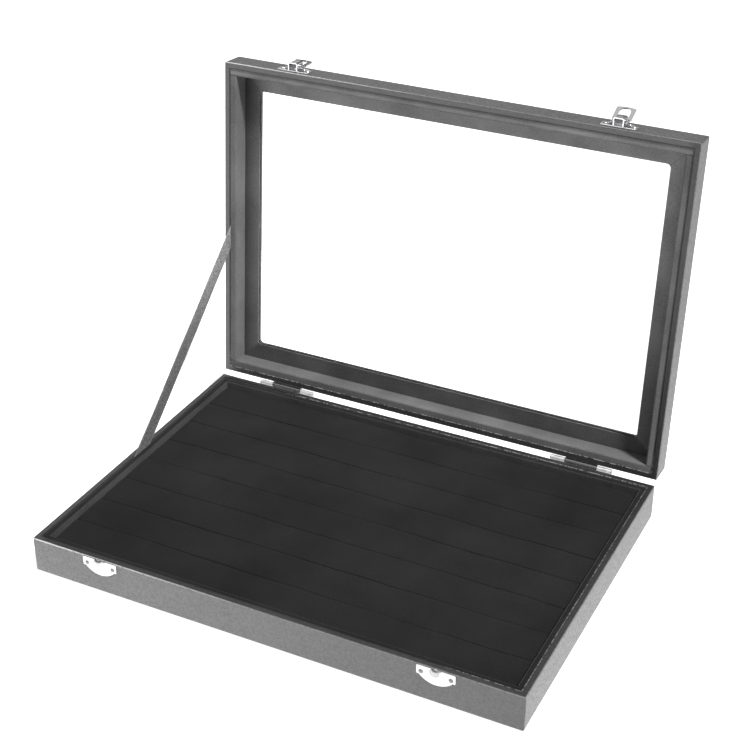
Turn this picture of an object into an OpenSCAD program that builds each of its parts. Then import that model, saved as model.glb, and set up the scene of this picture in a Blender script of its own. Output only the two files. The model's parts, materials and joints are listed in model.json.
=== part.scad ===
// Ring display case: leatherette box with a windowed lid, velvet ring rolls,
// two spring-loop catches, two butt hinges and a ribbon stay.
// Origin: middle of the underside. X runs left to right, Y front to back, Z up.
// The lid is drawn closed and then swung open about the hinge axis.

/* [Case] */
// Outside width
case_w = 350; // [300:1:420]
// Outside depth, front to back
case_d = 244; // [200:1:300]
// Height of the base, underside to rim
base_h = 26.4; // [25:0.1:40]
// Height of the lid, rim to top
lid_h = 18.9; // [17.5:0.1:30]
// Slit left between the two rims when shut
rim_gap = 0.2; // [0.1:0.1:0.6]
// Angle at which the ribbon stay holds the lid
lid_open = 94.8; // [85:0.2:110]
// Radius of the upright outside corners
corner_r = 1.5; // [1:0.1:4]
// Radius along the outside edges, top and bottom
edge_r = 0.8; // [0.6:0.05:1.5]

/* [Boards and covering] */
// Thickness of the wall boards
board_t = 3.3; // [2.5:0.1:4.5]
// Thickness of the leatherette
skin_t = 0.6; // [0.4:0.1:0.9]
// How far the leatherette is turned in at a rim or an underside edge
turn_in = 11; // [8:0.5:12]
// Thickness of the bottom board
bottom_t = 2.5; // [2:0.1:3.5]
// Thickness of the paper under the base
paper_t = 0.6; // [0.4:0.1:0.8]
// How far the paper stays back from the outside
paper_inset = 1.5; // [1:0.1:4]

/* [Lining] */
// Thickness of the velvet-covered liner boards in the base
liner_t = 4; // [3:0.1:5]
// Thickness of the liner boards in the lid
lid_liner_t = 5; // [3:0.1:5.5]
// How far the liners stay below the rims
liner_drop = 0.5; // [0.2:0.1:1.5]
// Radius along the exposed edge of a liner
liner_r = 1.2; // [0.5:0.1:1.4]

/* [Window] */
// Width of the frame around the window
border_w = 21.5; // [18:0.5:30]
// Radius in the corners of the window
window_r = 3; // [2:0.1:6]
// Thickness of the window board
window_board_t = 2; // [1.5:0.1:3]
// Thickness of the pane
pane_t = 1.5; // [1:0.1:2]
// How far the pane reaches past the window
pane_lap = 6; // [4:0.5:10]
// Thickness of the velvet frame under the pane
velvet_frame_t = 1.3; // [1:0.1:2]
// Play around the pane in its rebate
pane_play = 0.4; // [0.2:0.1:0.8]

/* [Ring rolls] */
// Number of rolls
roll_count = 8; // [8]
// Height of a roll, card to crown
roll_h = 17.3; // [14:0.1:19]
// Radius along the upper edges of a roll
roll_r = 3.2; // [1.5:0.1:5]
// Rise of the crown over the width of a roll
roll_crown = 0.9; // [0.3:0.1:2]
// Slit between two rolls
roll_slit = 0.3; // [0.2:0.1:1]
// Thickness of the card under the rolls
card_t = 1; // [0.6:0.1:1.6]

/* [Catches] */
// Distance from the left side of the case in to the middle of the left catch
left_catch_inset = 54; // [40:0.5:90]
// Distance from the right side of the case in to the middle of the right catch
right_catch_inset = 56.5; // [40:0.5:90]
// Thickness of the sheet metal
sheet_t = 0.8; // [0.6:0.1:1]
// Width of a catch plate
catch_w = 25.6; // [24:0.2:32]
// Height of a catch plate
catch_h = 11.6; // [10.5:0.1:14]
// Distance from the base rim down to a catch plate
catch_drop = 0.2; // [0.1:0.1:2]
// Radius of the head of the knob
knob_r = 3.2; // [2.6:0.1:3.6]
// Radius of the neck of the knob
knob_neck_r = 2; // [1.5:0.1:2.4]
// Distance from the base rim down to the middle of the knob
knob_drop = 0.6; // [0.6:0.1:2.5]
// Distance between the two screws of a catch plate
screw_pitch = 19.6; // [19:0.2:21]
// Radius of a screw shank
screw_r = 0.7; // [0.5:0.05:0.9]
// Radius of a screw head
screw_head_r = 1.5; // [1.2:0.05:1.7]

/* [Hasps] */
// Width of a hasp plate
hasp_w = 25; // [25:0.2:32]
// Height of a hasp plate
hasp_h = 11; // [10:0.1:13]
// Distance from the lid rim up to a hasp plate
hasp_rise = 2.4; // [2.4:0.1:4]
// Width of the bracket that carries the loop
bracket_w = 7.3; // [6.4:0.1:7.4]
// Length of the bracket
bracket_l = 8.5; // [8:0.1:8.6]
// Height of the bracket above its plate
bracket_h = 5.6; // [5:0.1:6.5]
// Thickness of the strip that the bracket is bent from
bracket_t = 0.7; // [0.5:0.1:0.8]
// Width of the loop
loop_w = 13.3; // [13.3:0.1:14.5]
// Length of the loop, pivot to tip
loop_l = 13.4; // [13.4:0.1:15]
// Thickness of the loop
loop_t = 1; // [0.8:0.1:1.2]
// Width of the two legs of the loop
loop_leg = 2.8; // [2.4:0.1:2.8]
// Width of the bar at the tip of the loop
loop_bar = 1.2; // [0.9:0.1:1.2]
// How far the tip of the loop bows out
loop_bow = 0.8; // [0.4:0.1:1.2]
// Lean of the left loop off the lid
left_loop_lean = 4; // [-3:1:90]
// Lean of the right loop off the lid
right_loop_lean = 27; // [-3:1:90]
// Radius of the loop's pivot pin
loop_pin_r = 0.7; // [0.5:0.05:0.75]

/* [Hinges] */
// Distance from each side of the case in to the middle of its hinge
hinge_inset = 55.5; // [30:0.5:90]
// Width of a hinge
hinge_w = 45; // [36:1:50]
// Width of the middle knuckle
knuckle_w = 23.8; // [14:0.2:28]
// Height of a hinge leaf, axis to far edge
leaf_h = 12; // [9:0.5:14]
// Distance from the back of the case out to the hinge axis
hinge_out = 2.3; // [2.2:0.1:3]
// Outside radius of a knuckle
knuckle_r = 1.9; // [1.6:0.05:2]
// Radius of the hinge pin
hinge_pin_r = 1; // [0.7:0.05:1.1]
// Radial running clearance of both kinds of pin
pin_play = 0.05; // [0.02:0.01:0.1]

/* [Ribbon stay] */
// Width of the ribbon
ribbon_w = 12.5; // [10:0.5:14]
// Thickness of the ribbon
ribbon_t = 0.5; // [0.3:0.1:0.8]
// Length of ribbon glued behind each liner
ribbon_tail = 10; // [6:1:11]
// Where the ribbon leaves the base, behind the middle of the case
ribbon_base_y = 1.8; // [-20:0.1:20]
// Where the ribbon leaves the lid, behind the middle of the shut lid
ribbon_lid_y = 11.3; // [-20:0.1:20]

/* [Hidden] */
$fn = 48;

// Overshoot of a cutter past the face that it cuts
cut = 1;
// Full wall: board between two layers of leatherette
wall_t = board_t + 2 * skin_t;
// Inside of the walls, inside of the liners
well_w = case_w - 2 * wall_t;
well_d = case_d - 2 * wall_t;
bed_w = well_w - 2 * liner_t;
bed_d = well_d - 2 * liner_t;

// Levels in the base
board_z = paper_t + skin_t;
floor_z = board_z + bottom_t;
bed_z = floor_z + card_t;
rail_top_z = base_h - skin_t;

// Levels in the shut lid
rim_z = base_h + rim_gap;
top_z = rim_z + lid_h;
window_board_top = top_z - skin_t;
pane_top = window_board_top - window_board_t;
velvet_z = pane_top - pane_t - velvet_frame_t;

// Window and pane
window_w = case_w - 2 * border_w;
window_d = case_d - 2 * border_w;
pane_w = window_w + 2 * pane_lap;
pane_d = window_d + 2 * pane_lap;

// Middles of the fittings along the case
left_catch_x = left_catch_inset - case_w / 2;
right_catch_x = case_w / 2 - right_catch_inset;
hinge_x = case_w / 2 - hinge_inset;

// Hinge axis
axis_y = case_d / 2 + hinge_out;
axis_z = base_h + rim_gap / 2;
knuckle_gap = 0.3;
end_knuckle_w = (hinge_w - knuckle_w) / 2 - knuckle_gap;

// Faces that the front fittings stand on
front_y = -case_d / 2;
plate_y = front_y - sheet_t;
back_y = case_d / 2;

// Catch plate and knob
catch_top = base_h - catch_drop;
plate_tab_w = 2.2;
plate_tab_h = 6.6;
plate_notch = 0.4;
knob_z = base_h - knob_drop;
knob_neck_h = 2.2;
knob_head_h = 1.7;
catch_screw_z = catch_top - 4.4;

// Screws and rivets
screw_l = 3.4;
screw_head_h = 0.7;
screw_play = 0.05;
screw_end_play = 0.2;
rivet_r = 0.6;
rivet_head_r = 1.1;
rivet_head_h = 0.5;
fitting_gap = 0.15;

// Loop and its eyes
loop_inner_w = loop_w - 2 * loop_leg;
loop_eye_w = 1.4;
loop_eye_r = loop_pin_r + sheet_t;
loop_eye_x = loop_inner_w / 2 + loop_eye_w;

// Hasp plate, and the bracket with its feet
hasp_z = rim_z + hasp_rise;
hasp_screw_z = hasp_z + 4.4;
bracket_z = hasp_z + 0.3;
bracket_r = 1.3;
foot_r = 1.5;
loop_axis_y = plate_y - bracket_t - loop_eye_r - fitting_gap;
loop_axis_z = bracket_z + bracket_l * 0.58;
rivet_x = loop_eye_x + 2 * fitting_gap + rivet_head_r;
hasp_screw_x = rivet_x + foot_r + fitting_gap + screw_head_r;

// Hinge screws
hinge_screw_x = hinge_w / 2 - 6;
leaf_screw_drop = leaf_h / 2 + 1;

// Ribbon: plane of its middle, and its two exits in the open pose
ribbon_x = -well_w / 2 + ribbon_t / 2;
ribbon_play = 0.15;
ribbon_base = [ribbon_base_y, base_h];
lid_dy = ribbon_lid_y - axis_y;
lid_dz = rim_z - axis_z;
ribbon_lid = [
    axis_y + lid_dy * cos(lid_open) + lid_dz * sin(lid_open),
    axis_z - lid_dy * sin(lid_open) + lid_dz * cos(lid_open)
];
ribbon_run = ribbon_lid - ribbon_base;
ribbon_l = norm(ribbon_run);
ribbon_angle = atan2(ribbon_run[1], ribbon_run[0]);

// Rolls
roll_pitch = bed_d / roll_count;
roll_w = roll_pitch - roll_slit;
roll_l = bed_w - 2 * roll_slit;
roll_end_r = 2.4;

// Places of the screws and rivets, as x and z
function pairs(middles, reach, z) = [for (x = middles, s = [-1, 1]) [x + s * reach, z]];
catch_screw_places = pairs([left_catch_x, right_catch_x], screw_pitch / 2, catch_screw_z);
hasp_screw_places = pairs([left_catch_x, right_catch_x], hasp_screw_x, hasp_screw_z);
hasp_rivet_places = pairs([left_catch_x, right_catch_x], rivet_x, loop_axis_z);
base_leaf_screw_places = pairs([-hinge_x, hinge_x], hinge_screw_x, axis_z - leaf_screw_drop);
lid_leaf_screw_places = pairs([-hinge_x, hinge_x], hinge_screw_x, axis_z + leaf_screw_drop);

// Swings a shut lid piece to the open pose
module lid_pose() {
    translate([0, axis_y, axis_z])
        rotate([-lid_open, 0, 0])
            translate([0, -axis_y, -axis_z])
                children();
}

// Rectangle with round corners, centred
module round_rect(w, d, r) {
    square([w - 2 * r, d], center = true);
    square([w, d - 2 * r], center = true);
    for (x = [-1, 1], y = [-1, 1])
        translate([x * (w / 2 - r), y * (d / 2 - r)])
            circle(r = r);
}

// Box centred on the origin in plan, between two levels
module level_box(w, d, z0, z1) {
    translate([-w / 2, -d / 2, z0])
        cube([w, d, z1 - z0]);
}

// Block that the boards are cut from, one skin inside the outside of the case
module board_block(z0, z1) {
    translate([0, 0, z0])
        linear_extrude(z1 - z0)
            round_rect(case_w - 2 * skin_t, case_d - 2 * skin_t, corner_r - skin_t);
}

// Outside form of a half of the case: round corners and round long edges
module covered_block(z0, z1) {
    h = z1 - z0;
    intersection() {
        translate([0, 0, z0])
            linear_extrude(h)
                round_rect(case_w, case_d, corner_r);
        translate([-case_w / 2, 0, z0 + h / 2])
            rotate([90, 0, 90])
                linear_extrude(case_w)
                    round_rect(case_d, h, edge_r);
        translate([0, case_d / 2, z0 + h / 2])
            rotate([90, 0, 0])
                linear_extrude(case_d)
                    round_rect(case_w, h, edge_r);
    }
}

// Front board of a block with mitred ends, outer face at y = -off
module mitred_board(length, off, t, z0, z1) {
    translate([0, 0, z0])
        linear_extrude(z1 - z0)
            polygon([
                [-length / 2, -off],
                [length / 2, -off],
                [length / 2 - t, -off + t],
                [-length / 2 + t, -off + t]
            ]);
}

// Turns a front piece to the back, left or right of the case
module on_side(side) {
    turn = side == "front" ? 0 : side == "right" ? 90 : side == "back" ? 180 : -90;
    rotate([0, 0, turn])
        children();
}

function is_long(side) = side == "front" || side == "back";

// Round holes along Y at places given as x and z
module y_holes(places, y0, y1, r) {
    for (p = places)
        translate([p[0], y0, p[1]])
            rotate([-90, 0, 0])
                cylinder(h = y1 - y0, r = r, $fn = 24);
}

// Holes for the screws that enter through a front or a back face
module front_screw_holes(places) {
    y_holes(places, plate_y - cut, plate_y + screw_l + screw_end_play, screw_r + screw_play);
}

module back_screw_holes(places) {
    seat = back_y + sheet_t;
    y_holes(places, seat - screw_l - screw_end_play, seat + cut, screw_r + screw_play);
}

// Round-head screw or rivet along Y: seat is the face under the head, dir points into the box
module fastener(place, seat, dir, head_r, head_h, shank_r, shank_l) {
    translate([place[0], seat, place[1]])
        rotate([dir > 0 ? -90 : 90, 0, 0])
            rotate_extrude($fn = 32)
                polygon([
                    [0, -head_h],
                    [head_r * 0.45, -head_h * 0.9],
                    [head_r * 0.8, -head_h * 0.55],
                    [head_r, 0],
                    [shank_r, 0],
                    [shank_r, shank_l - shank_r],
                    [0, shank_l]
                ]);
}

module screw(place, seat, dir) {
    fastener(place, seat, dir, screw_head_r, screw_head_h, screw_r, screw_l);
}

// Board wall of one side
module rail(side, z0, z1) {
    length = (is_long(side) ? case_w : case_d) - 2 * skin_t;
    off = (is_long(side) ? case_d : case_w) / 2 - skin_t;
    intersection() {
        on_side(side)
            mitred_board(length, off, board_t, z0, z1);
        board_block(z0, z1);
    }
}

module base_rail(side) {
    color("tan")
        difference() {
            rail(side, board_z, rail_top_z);
            front_screw_holes(catch_screw_places);
            back_screw_holes(base_leaf_screw_places);
        }
}

module lid_rail(side) {
    color("tan")
        lid_pose()
            difference() {
                rail(side, rim_z + skin_t, pane_top);
                front_screw_holes(hasp_screw_places);
                back_screw_holes(lid_leaf_screw_places);
            }
}

// Leatherette of the base: outside, rim, turn-in and turn-under, in one piece
module base_leatherette() {
    color("#8c8c8c")
        difference() {
            covered_block(paper_t, base_h);
            difference() {
                board_block(board_z, rail_top_z);
                level_box(well_w + 2 * skin_t, well_d + 2 * skin_t, board_z - cut, base_h + cut);
            }
            level_box(well_w, well_d, board_z, base_h + cut);
            level_box(well_w + 2 * skin_t, well_d + 2 * skin_t, board_z, base_h - turn_in);
            level_box(case_w - 2 * turn_in, case_d - 2 * turn_in, 0, base_h);
            front_screw_holes(catch_screw_places);
            back_screw_holes(base_leaf_screw_places);
        }
}

// Paper pasted over the underside, thicker inside the turn-under
module base_underside_paper() {
    color("dimgray") {
        level_box(case_w - 2 * paper_inset, case_d - 2 * paper_inset, 0, paper_t);
        level_box(case_w - 2 * turn_in, case_d - 2 * turn_in, 0, board_z);
    }
}

module base_bottom_board() {
    color("tan")
        level_box(well_w + 2 * skin_t, well_d + 2 * skin_t, board_z, floor_z);
}

// Liner board of one side with a rounded exposed edge: the long ones run right through
module liner(side, thick, z0, z1, edge_up) {
    length = is_long(side) ? well_w : well_d - 2 * thick;
    off = (is_long(side) ? well_d : well_w) / 2;
    h = z1 - z0;
    on_side(side)
        translate([-length / 2, -off, edge_up ? z0 : z1])
            mirror([0, 0, edge_up ? 0 : 1])
                rotate([90, 0, 90])
                    linear_extrude(length)
                        liner_profile(thick, h);
}

// Section of a liner: depth into the well, then height, round along the inner top edge
module liner_profile(thick, h) {
    square([thick, h - liner_r]);
    square([thick - liner_r, h]);
    translate([thick - liner_r, h - liner_r])
        circle(r = liner_r);
}

module base_liner(side) {
    color("#3a3a3a")
        difference() {
            liner(side, liner_t, floor_z, base_h - liner_drop, true);
            ribbon(ribbon_play);
        }
}

module lid_liner(side) {
    color("#5f5f5f")
        difference() {
            lid_pose()
                liner(side, lid_liner_t, rim_z + liner_drop, velvet_z, false);
            ribbon(ribbon_play);
        }
}

module roll_card() {
    color("#3a3a3a")
        level_box(bed_w, bed_d, floor_z, bed_z);
}

// Section with round upper corners and a crown
module crowned_section(w, h, r, crown) {
    crown_r = (w * w / 4 + crown * crown) / (2 * crown);
    intersection() {
        translate([0, h - crown_r])
            circle(r = crown_r, $fn = 360);
        union() {
            translate([-w / 2, 0])
                square([w, h - r]);
            translate([-w / 2 + r, 0])
                square([w - 2 * r, h]);
            for (s = [-1, 1])
                translate([s * (w / 2 - r), h - r])
                    circle(r = r);
        }
    }
}

// One velvet-covered foam roll: a crowned bar, drawn down at both ends
module ring_roll(i) {
    color("#2e2e2e")
        translate([0, -bed_d / 2 + (i - 0.5) * roll_pitch, bed_z])
            intersection() {
                translate([-roll_l / 2, 0, 0])
                    rotate([90, 0, 90])
                        linear_extrude(roll_l)
                            crowned_section(roll_w, roll_h, roll_r, roll_crown);
                translate([0, roll_w / 2, 0])
                    rotate([90, 0, 0])
                        linear_extrude(roll_w)
                            crowned_section(roll_l, roll_h, roll_end_r, roll_crown / 2);
            }
}

// Outline of a fitting's plate: straight edge along X, two end tabs and a bowed edge at +Y
module bowed_plate(w, h) {
    half = w / 2 - plate_tab_w;
    sag = h - plate_tab_h - plate_notch;
    bow_r = (half * half + sag * sag) / (2 * sag);
    intersection() {
        translate([0, h - bow_r])
            circle(r = bow_r, $fn = 120);
        translate([-half, 0])
            square([2 * half, h]);
    }
    for (s = [-1, 1])
        translate([s * half, plate_tab_h / 2])
            round_rect(2 * plate_tab_w, plate_tab_h, 0.8);
}

module catch_plate(x) {
    color("silver")
        difference() {
            translate([x, front_y, catch_top])
                rotate([90, 0, 0])
                    linear_extrude(sheet_t)
                        mirror([0, 1])
                            bowed_plate(catch_w, catch_h);
            front_screw_holes(catch_screw_places);
        }
}

// Turned knob riveted to the plate: neck, then a domed head that the loop passes over
module catch_knob(x) {
    head_z = knob_neck_h + knob_head_h;
    dome_r = (knob_r * knob_r + knob_head_h * knob_head_h) / (2 * knob_head_h);
    color("silver")
        translate([x, plate_y, knob_z])
            rotate([90, 0, 0]) {
                cylinder(h = knob_neck_h + knob_head_h / 2, r = knob_neck_r);
                intersection() {
                    translate([0, 0, knob_neck_h])
                        cylinder(h = knob_head_h, r = knob_r);
                    translate([0, 0, head_z - dome_r])
                        sphere(r = dome_r, $fn = 96);
                }
            }
}

module catch_screws() {
    color("silver")
        for (p = catch_screw_places)
            screw(p, plate_y, 1);
}

module hasp_plate(x) {
    color("silver")
        lid_pose()
            difference() {
                translate([x, front_y, hasp_z])
                    rotate([90, 0, 0])
                        linear_extrude(sheet_t)
                            bowed_plate(hasp_w, hasp_h);
                front_screw_holes(hasp_screw_places);
                y_holes(hasp_rivet_places, plate_y - cut, front_y + cut, rivet_r + screw_play);
            }
}

// Section of a bracket: strip bent over in a bridge, as x and height above the plate
module bridge_section() {
    inner_w = bracket_w - 2 * bracket_t;
    inner_h = bracket_h - bracket_t;
    difference() {
        union() {
            translate([0, bracket_h / 2])
                round_rect(bracket_w, bracket_h, bracket_r);
            translate([-bracket_w / 2, 0])
                square([bracket_w, bracket_h / 2]);
        }
        translate([0, inner_h / 2])
            round_rect(inner_w, inner_h, bracket_r - bracket_t);
        translate([-inner_w / 2, -cut])
            square([inner_w, inner_h / 2 + cut]);
    }
}

// Foot of a bracket on one side, with a round end about its rivet
module bracket_foot(side) {
    inner_x = bracket_w / 2 - bracket_t;
    mirror([side > 0 ? 0 : 1, 0]) {
        translate([inner_x, -foot_r])
            square([rivet_x - inner_x, 2 * foot_r]);
        translate([rivet_x, 0])
            circle(r = foot_r);
    }
}

// Bracket, open at both ends, that holds the pivot pin of the loop
module hasp_bracket(x) {
    color("silver")
        lid_pose()
            difference() {
                union() {
                    translate([x, plate_y, bracket_z])
                        mirror([0, 1, 0])
                            linear_extrude(bracket_l)
                                bridge_section();
                    for (side = [-1, 1])
                        translate([x, plate_y, loop_axis_z])
                            rotate([90, 0, 0])
                                linear_extrude(bracket_t)
                                    bracket_foot(side);
                }
                y_holes(hasp_rivet_places, plate_y - bracket_t - cut, plate_y + cut, rivet_r + screw_play);
                translate([x - bracket_w, loop_axis_y, loop_axis_z])
                    rotate([0, 90, 0])
                        cylinder(h = 2 * bracket_w, r = loop_pin_r + pin_play);
            }
}

module hasp_rivets() {
    shank_l = bracket_t + sheet_t - screw_play;
    color("silver")
        lid_pose()
            for (p = hasp_rivet_places)
                fastener(p, plate_y - bracket_t, 1, rivet_head_r, rivet_head_h, rivet_r, shank_l);
}

// Pivot pin of a loop, with a flat head at both ends
module hasp_pin(x) {
    head_t = 0.4;
    reach = loop_eye_x + 2 * pin_play;
    color("silver")
        lid_pose()
            translate([x, loop_axis_y, loop_axis_z])
                rotate([0, 90, 0]) {
                    cylinder(h = 2 * reach, r = loop_pin_r, center = true);
                    for (side = [-1, 1])
                        translate([0, 0, side * (reach + head_t / 2)])
                            cylinder(h = head_t, r = loop_pin_r + 0.4, center = true);
                }
}

// Coil spring on the pin inside a bracket, as the sleeve that its turns fill
module hasp_spring(x) {
    reach = bracket_w / 2 - bracket_t - fitting_gap;
    color("gray")
        lid_pose()
            translate([x - reach, loop_axis_y, loop_axis_z])
                rotate([0, 90, 0])
                    linear_extrude(2 * reach)
                        difference() {
                            circle(r = loop_eye_r);
                            circle(r = loop_pin_r + fitting_gap);
                        }
}

module hasp_screws() {
    color("silver")
        lid_pose()
            for (p = hasp_screw_places)
                screw(p, plate_y, 1);
}

// Flat loop, tip towards +Z, drawn about its pivot: two legs with eyes and an arched window
module loop_body() {
    difference() {
        union() {
            translate([0, loop_t / 2, 0])
                rotate([90, 0, 0])
                    linear_extrude(loop_t)
                        loop_outline();
            for (side = [-1, 1])
                translate([side * (loop_inner_w + loop_eye_w) / 2, 0, 0])
                    rotate([0, 90, 0])
                        cylinder(h = loop_eye_w, r = loop_eye_r, center = true);
        }
        translate([0, loop_t / 2 + cut, 0])
            rotate([90, 0, 0])
                linear_extrude(loop_t + 2 * cut)
                    loop_window(loop_inner_w / 2);
        translate([-loop_w / 2 - cut, 0, 0])
            rotate([0, 90, 0])
                cylinder(h = loop_w + 2 * cut, r = loop_pin_r + pin_play);
    }
}

// Outline of the loop: a plate with a bowed tip, and a tab at each leg that runs to its eye
module loop_outline() {
    leg_start = loop_pin_r + 0.6;
    bow_r = (loop_w * loop_w / 4 + loop_bow * loop_bow) / (2 * loop_bow);
    intersection() {
        translate([0, leg_start + loop_l / 2])
            round_rect(loop_w, loop_l, 1);
        translate([0, loop_l - bow_r])
            circle(r = bow_r, $fn = 240);
    }
    for (side = [-1, 1])
        translate([side * (loop_inner_w + loop_eye_w) / 2, leg_start])
            square([loop_eye_w, 2 * leg_start], center = true);
}

// Opening of the loop, from behind the pivot to the arch at the bar
module loop_window(arch_r) {
    translate([-arch_r, -loop_eye_r - cut])
        square([2 * arch_r, loop_l - loop_bar - arch_r + loop_eye_r + cut]);
    translate([0, loop_l - loop_bar - arch_r])
        circle(r = arch_r);
}

module hasp_loop(x, lean) {
    color("lightgray")
        lid_pose()
            translate([x, loop_axis_y, loop_axis_z])
                rotate([lean, 0, 0])
                    loop_body();
}

// Leaf of a hinge: plate on the back of the case and the knuckles that it is rolled into.
// up = 1 is the lid leaf with the middle knuckle, up = -1 the base leaf with the end ones.
module hinge_leaf(x, up) {
    own = up > 0 ? [[-knuckle_w / 2, knuckle_w]]
        : [[-hinge_w / 2, end_knuckle_w], [hinge_w / 2 - end_knuckle_w, end_knuckle_w]];
    other = up > 0 ? [[-hinge_w / 2 - cut, end_knuckle_w + cut + knuckle_gap],
                      [hinge_w / 2 - end_knuckle_w - knuckle_gap, end_knuckle_w + cut + knuckle_gap]]
        : [[-knuckle_w / 2 - knuckle_gap, knuckle_w + 2 * knuckle_gap]];
    places = up > 0 ? lid_leaf_screw_places : base_leaf_screw_places;
    notch = knuckle_r + knuckle_gap;
    difference() {
        union() {
            translate([x - hinge_w / 2, back_y, up > 0 ? axis_z + rim_gap / 2 : axis_z - leaf_h])
                cube([hinge_w, sheet_t, leaf_h - rim_gap / 2]);
            for (k = own) {
                translate([x + k[0], axis_y, axis_z])
                    rotate([0, 90, 0])
                        cylinder(h = k[1], r = knuckle_r);
                translate([x + k[0], back_y + 0.1, up > 0 ? axis_z : axis_z - knuckle_r])
                    cube([k[1], hinge_out - 0.1, knuckle_r]);
            }
        }
        for (k = other)
            translate([x + k[0], back_y - cut, axis_z - notch])
                cube([k[1], 2 * cut + hinge_out + knuckle_r, 2 * notch]);
        translate([x - hinge_w, axis_y, axis_z])
            rotate([0, 90, 0])
                cylinder(h = 2 * hinge_w, r = hinge_pin_r + pin_play);
        y_holes(places, back_y - cut, back_y + sheet_t + cut, screw_r + screw_play);
    }
}

module hinge_base_leaf(x) {
    color("gray")
        hinge_leaf(x, -1);
}

module hinge_lid_leaf(x) {
    color("gray")
        lid_pose()
            hinge_leaf(x, 1);
}

// Hinge pin, peened flat over the two end knuckles
module hinge_pin(x) {
    head_t = 0.6;
    color("silver")
        translate([x - hinge_w / 2, axis_y, axis_z])
            rotate([0, 90, 0]) {
                cylinder(h = hinge_w, r = hinge_pin_r);
                for (z = [-head_t, hinge_w])
                    translate([0, 0, z])
                        cylinder(h = head_t, r = hinge_pin_r + 0.5);
            }
}

module hinge_base_screws() {
    color("silver")
        for (p = base_leaf_screw_places)
            screw(p, back_y + sheet_t, -1);
}

module hinge_lid_screws() {
    color("silver")
        lid_pose()
            for (p = lid_leaf_screw_places)
                screw(p, back_y + sheet_t, -1);
}

module lid_leatherette() {
    color("#7d7d7d")
        lid_pose()
            difference() {
                covered_block(rim_z, top_z);
                difference() {
                    board_block(rim_z + skin_t, window_board_top);
                    level_box(well_w + 2 * skin_t, well_d + 2 * skin_t, rim_z, pane_top);
                    translate([0, 0, pane_top - cut])
                        linear_extrude(window_board_t + 2 * cut)
                            round_rect(window_w + 2 * skin_t, window_d + 2 * skin_t, window_r + skin_t);
                }
                level_box(well_w, well_d, rim_z - cut, pane_top);
                level_box(well_w + 2 * skin_t, well_d + 2 * skin_t, rim_z + turn_in, pane_top);
                translate([0, 0, rim_z])
                    linear_extrude(lid_h + cut)
                        round_rect(window_w, window_d, window_r);
                front_screw_holes(hasp_screw_places);
                back_screw_holes(lid_leaf_screw_places);
            }
}

module lid_window_board() {
    color("tan")
        lid_pose()
            difference() {
                board_block(pane_top, window_board_top);
                translate([0, 0, pane_top - cut])
                    linear_extrude(window_board_t + 2 * cut)
                        round_rect(window_w + 2 * skin_t, window_d + 2 * skin_t, window_r + skin_t);
            }
}

module window_pane() {
    color("lightblue", 0.3)
        lid_pose()
            level_box(pane_w, pane_d, pane_top - pane_t, pane_top);
}

// Velvet-covered frame that holds the pane against the window board, rebated for the pane
module window_velvet_frame() {
    color("#505050")
        lid_pose()
            difference() {
                level_box(well_w + 2 * skin_t, well_d + 2 * skin_t, velvet_z, pane_top);
                level_box(pane_w + 2 * pane_play, pane_d + 2 * pane_play, pane_top - pane_t, pane_top + cut);
                translate([0, 0, velvet_z - cut])
                    linear_extrude(velvet_frame_t + 2 * cut)
                        round_rect(window_w, window_d, window_r);
            }
}

// Ribbon, grown by a margin where it cuts its own pocket
module ribbon(grow) {
    translate([ribbon_x - ribbon_t / 2 - grow, ribbon_base[0], ribbon_base[1]])
        rotate([ribbon_angle, 0, 0])
            translate([0, -ribbon_tail - grow, -ribbon_w / 2 - grow])
                cube([ribbon_t + 2 * grow, ribbon_l + 2 * ribbon_tail + 2 * grow, ribbon_w + 2 * grow]);
}

module stay_ribbon() {
    color("dimgray")
        ribbon(0);
}

base_leatherette();
base_underside_paper();
base_bottom_board();
base_rail("front");  // base_front_rail
base_rail("back");  // base_back_rail
base_rail("left");  // base_left_rail
base_rail("right");  // base_right_rail
base_liner("front");  // base_front_liner
base_liner("back");  // base_back_liner
base_liner("left");  // base_left_liner
base_liner("right");  // base_right_liner
roll_card();
ring_roll(1);  // ring_roll_1
ring_roll(2);  // ring_roll_2
ring_roll(3);  // ring_roll_3
ring_roll(4);  // ring_roll_4
ring_roll(5);  // ring_roll_5
ring_roll(6);  // ring_roll_6
ring_roll(7);  // ring_roll_7
ring_roll(8);  // ring_roll_8
catch_plate(left_catch_x);  // left_catch_plate
catch_plate(right_catch_x);  // right_catch_plate
catch_knob(left_catch_x);  // left_catch_knob
catch_knob(right_catch_x);  // right_catch_knob
catch_screws();
hinge_base_leaf(-hinge_x);  // left_hinge_base_leaf
hinge_base_leaf(hinge_x);  // right_hinge_base_leaf
hinge_pin(-hinge_x);  // left_hinge_pin
hinge_pin(hinge_x);  // right_hinge_pin
hinge_base_screws();
stay_ribbon();
lid_leatherette();
lid_window_board();
lid_rail("front");  // lid_front_rail
lid_rail("back");  // lid_back_rail
lid_rail("left");  // lid_left_rail
lid_rail("right");  // lid_right_rail
lid_liner("front");  // lid_front_liner
lid_liner("back");  // lid_back_liner
lid_liner("left");  // lid_left_liner
lid_liner("right");  // lid_right_liner
window_pane();
window_velvet_frame();
hasp_plate(left_catch_x);  // left_hasp_plate
hasp_plate(right_catch_x);  // right_hasp_plate
hasp_bracket(left_catch_x);  // left_hasp_bracket
hasp_bracket(right_catch_x);  // right_hasp_bracket
hasp_pin(left_catch_x);  // left_hasp_pin
hasp_pin(right_catch_x);  // right_hasp_pin
hasp_spring(left_catch_x);  // left_hasp_spring
hasp_spring(right_catch_x);  // right_hasp_spring
hasp_rivets();
hasp_screws();
hinge_lid_leaf(-hinge_x);  // left_hinge_lid_leaf
hinge_lid_leaf(hinge_x);  // right_hinge_lid_leaf
hinge_lid_screws();
hasp_loop(left_catch_x, left_loop_lean);  // left_hasp_loop
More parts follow.
